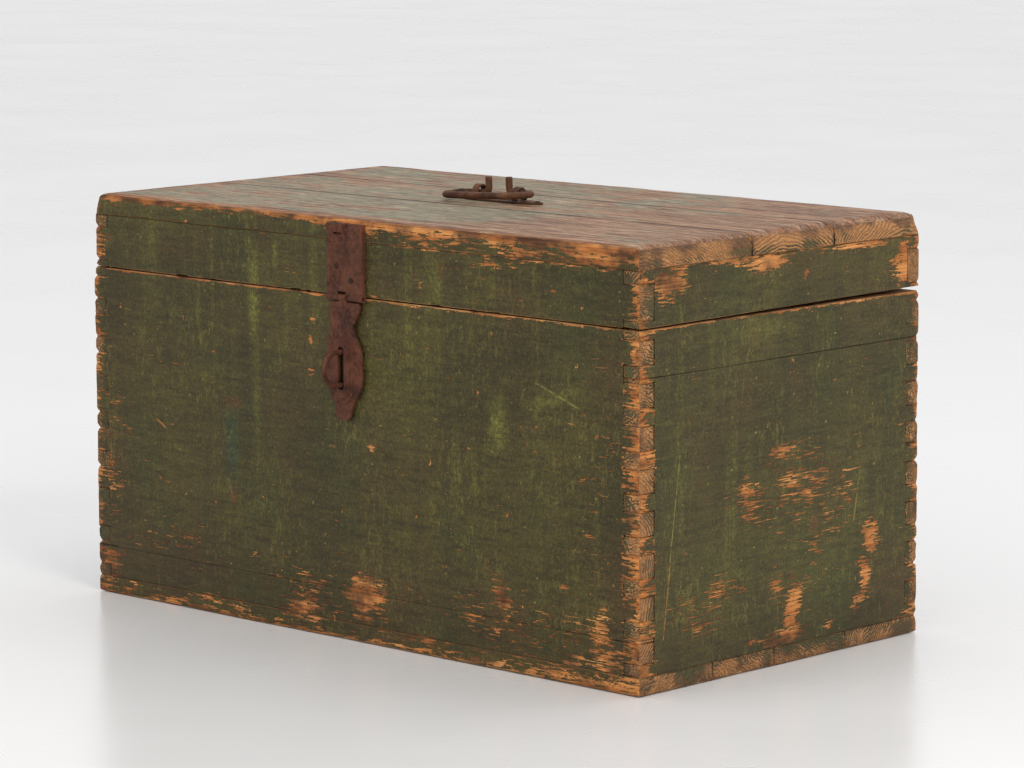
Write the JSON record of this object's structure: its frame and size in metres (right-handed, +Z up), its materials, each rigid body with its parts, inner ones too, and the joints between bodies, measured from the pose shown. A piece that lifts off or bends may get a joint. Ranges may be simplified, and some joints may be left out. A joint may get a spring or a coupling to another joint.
{
  "type": "footlocker",
  "caption": "Old painted wooden footlocker with finger-jointed corners, a hinged lid, an iron hasp over a wire staple and a bail handle on the lid.",
  "frame": {"origin": "middle of the underside of the box, on the surface that it stands on", "axes": "+X along the length towards the right end as seen from the front, -Y towards the front with the hasp, +Z up"},
  "size_m": [0.7, 0.4142, 0.4073],
  "materials": {
    "olive_paint": "worn dark olive green paint over pine, bare orange wood at the edges",
    "faded_top_paint": "weathered grey green paint streaked with brown bare pine",
    "worn_floor_wood": "worn dirty pine with remains of green paint",
    "rusty_iron": "matt red-brown rust",
    "dark_iron": "dark brown pitted iron with rubbed highlights",
    "nails_and_pins": "dark rusty nails, screws and pins"
  },
  "bodies": {
    "box": {"back_wall_lower": "olive_paint", "back_wall_upper": "olive_paint", "bottom_board_1": "worn_floor_wood", "bottom_board_2": "worn_floor_wood", "bottom_board_3": "worn_floor_wood", "bottom_board_4": "worn_floor_wood", "front_wall_lower": "olive_paint", "front_wall_upper": "olive_paint", "hasp_staple": "rusty_iron", "hinge_lower_leaf_left": "rusty_iron", "hinge_lower_leaf_right": "rusty_iron", "hinge_lower_screw_left_1": "nails_and_pins", "hinge_lower_screw_left_2": "nails_and_pins", "hinge_lower_screw_left_3": "nails_and_pins", "hinge_lower_screw_right_1": "nails_and_pins", "hinge_lower_screw_right_2": "nails_and_pins", "hinge_lower_screw_right_3": "nails_and_pins", "hinge_pin_left": "nails_and_pins", "hinge_pin_right": "nails_and_pins", "left_end_lower": "olive_paint", "left_end_upper": "olive_paint", "right_end_lower": "olive_paint", "right_end_upper": "olive_paint"},
    "lid": {"handle_eye_left": "dark_iron", "handle_eye_right": "dark_iron", "handle_nail_left": "dark_iron", "handle_nail_right": "dark_iron", "handle_plate": "dark_iron", "hasp_nail_1": "nails_and_pins", "hasp_nail_2": "nails_and_pins", "hasp_pin": "nails_and_pins", "hasp_plate": "rusty_iron", "hinge_upper_leaf_left": "rusty_iron", "hinge_upper_leaf_right": "rusty_iron", "hinge_upper_screw_left_1": "nails_and_pins", "hinge_upper_screw_left_2": "nails_and_pins", "hinge_upper_screw_left_3": "nails_and_pins", "hinge_upper_screw_right_1": "nails_and_pins", "hinge_upper_screw_right_2": "nails_and_pins", "hinge_upper_screw_right_3": "nails_and_pins", "lid_back_rail": "olive_paint", "lid_front_rail": "olive_paint", "lid_left_rail": "olive_paint", "lid_right_rail": "olive_paint", "top_board_back": "faded_top_paint", "top_board_front": "faded_top_paint", "top_board_middle": "faded_top_paint"},
    "hasp": {"hasp_leaf": "rusty_iron"},
    "bail": {"handle_bail": "dark_iron"}
  },
  "joints": [
    {"name": "lid_hinge", "type": "hinge", "parent": "box", "child": "lid", "pos_m": [0, 0.1923, 0.31525], "axis": [-1, 0, 0], "range_deg": [0, 180]},
    {"name": "hasp_hinge", "type": "hinge", "parent": "lid", "child": "hasp", "pos_m": [0, -0.1915, 0.3128], "axis": [-1, 0, 0], "range_deg": [0, 120]},
    {"name": "bail_hinge", "type": "hinge", "parent": "lid", "child": "bail", "pos_m": [0, 0.006, 0.3916], "axis": [-1, 0, 0], "range_deg": [0, 90]}
  ]
}
